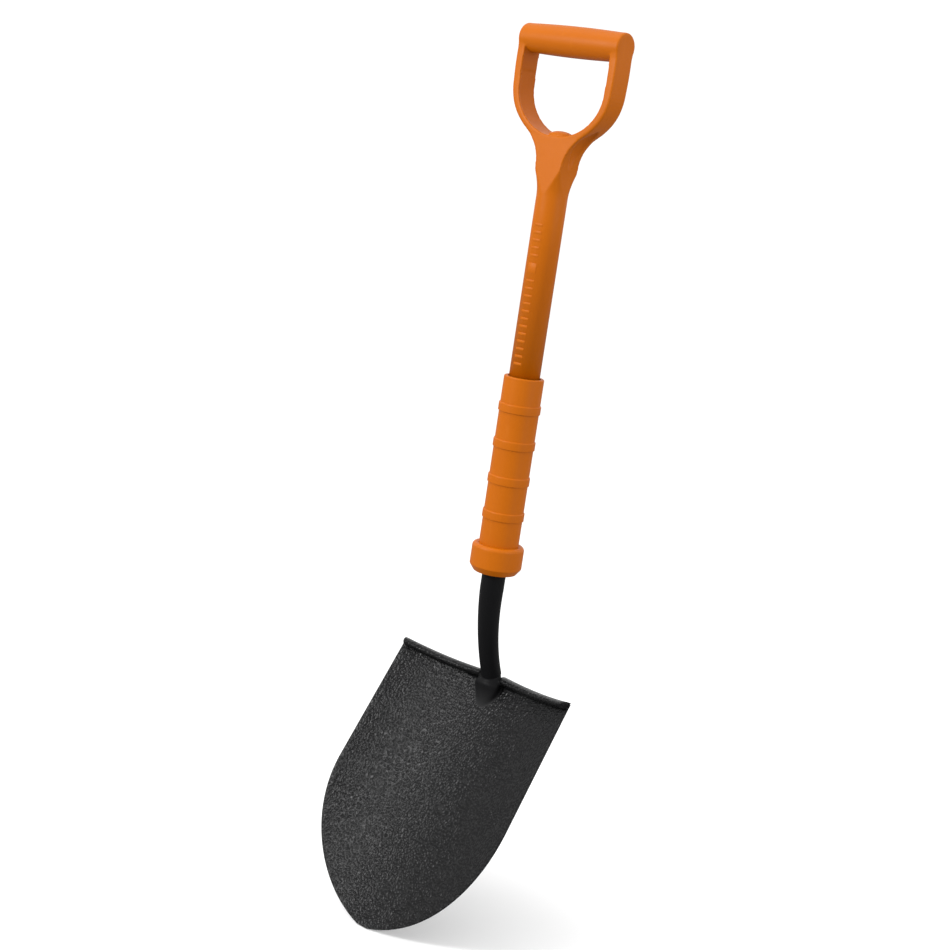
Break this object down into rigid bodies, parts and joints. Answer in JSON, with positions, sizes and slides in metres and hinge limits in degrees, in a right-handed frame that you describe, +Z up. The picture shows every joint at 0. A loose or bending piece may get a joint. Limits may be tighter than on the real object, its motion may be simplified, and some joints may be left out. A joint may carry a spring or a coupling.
{
  "type": "round point shovel",
  "caption": "Long round point shovel with an insulated D-handled shaft, a ringed grip sleeve, a guard collar and a dished steel blade with foot treads.",
  "frame": {"origin": "on the shaft's axis, in the plane of the guard collar's underside, where the tool hangs in a forked bracket", "axes": "+Z up the shaft towards the D-handle, +X across the blade to the user's right when the hollow side faces forward, -Y the way the blade's hollow side faces"},
  "size_m": [0.253, 0.1697, 0.9866],
  "materials": {
    "orange_plastic": "satin moulded, with a fine grain",
    "black_coating": "hammered black powder coat",
    "fibreglass": "drawn fibreglass",
    "rivet_steel": "plain zinc",
    "black_rubber": "matt"
  },
  "bodies": {
    "root": {"blade": "black_coating", "neck_weld": "black_coating", "neck_socket": "black_coating", "socket_rivets": "rivet_steel", "core_rod": "fibreglass", "shaft_end_plug": "black_rubber", "shaft_handle": "orange_plastic", "grip_sleeve": "orange_plastic", "guard_collar": "orange_plastic", "neck_seal": "black_rubber"}
  },
  "joints": []
}
